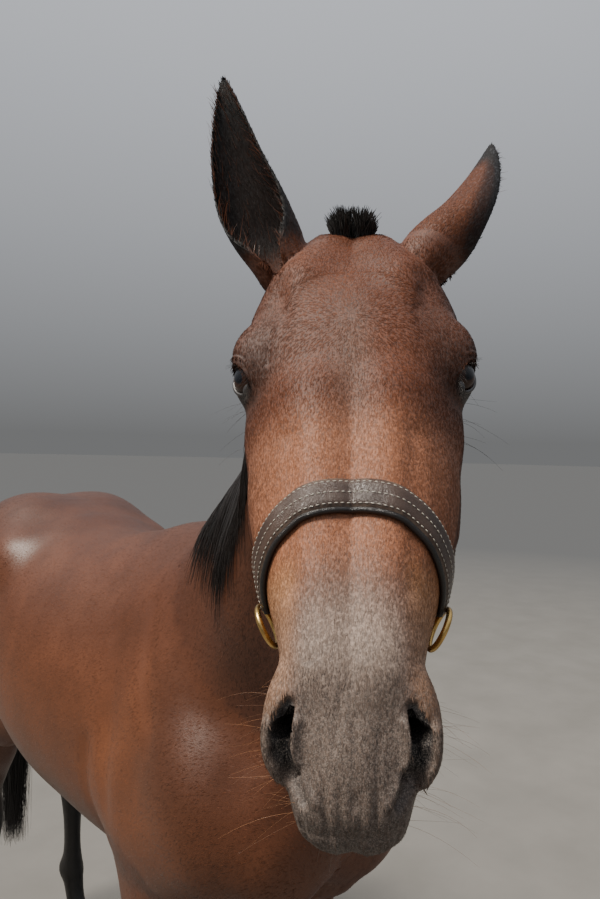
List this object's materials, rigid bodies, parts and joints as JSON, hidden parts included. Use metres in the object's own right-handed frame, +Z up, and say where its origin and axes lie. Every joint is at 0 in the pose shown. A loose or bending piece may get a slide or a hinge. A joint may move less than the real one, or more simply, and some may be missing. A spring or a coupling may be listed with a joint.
{
  "type": "riding horse",
  "caption": "Life-size standing bay horse with black mane and tail, head turned to its right, wearing a brown leather halter.",
  "frame": {"origin": "on the floor, at the centre of the box round the whole horse", "axes": "+Z up, -Y the way the body faces, +X the horse's left"},
  "size_m": [0.8186, 2.287, 2.1823],
  "materials": {
    "coat": "short glossy bay coat, black on the points",
    "long_hair": "long black hair",
    "eye": "wet, dark brown",
    "hoof": "dark horn with growth rings",
    "halter_leather": "worn dark brown, stitched in pale thread",
    "halter_brass": "polished, lightly scuffed"
  },
  "bodies": {
    "root": {"head": "coat", "neck": "coat", "torso": "coat", "foreleg_left": "coat", "foreleg_right": "coat", "hindleg_left": "coat", "hindleg_right": "coat", "tail": "long_hair", "ear_left": "coat", "ear_right": "coat", "eye_left": "eye", "eye_right": "eye", "hoof_fore_left": "hoof", "hoof_fore_right": "hoof", "hoof_hind_left": "hoof", "hoof_hind_right": "hoof", "halter_noseband": "halter_leather", "halter_chin_strap": "halter_leather", "halter_cheek_left": "halter_leather", "halter_cheek_right": "halter_leather", "halter_crown": "halter_leather", "halter_ring_left": "halter_brass", "halter_ring_right": "halter_brass", "halter_lead_ring": "halter_brass"}
  },
  "joints": []
}
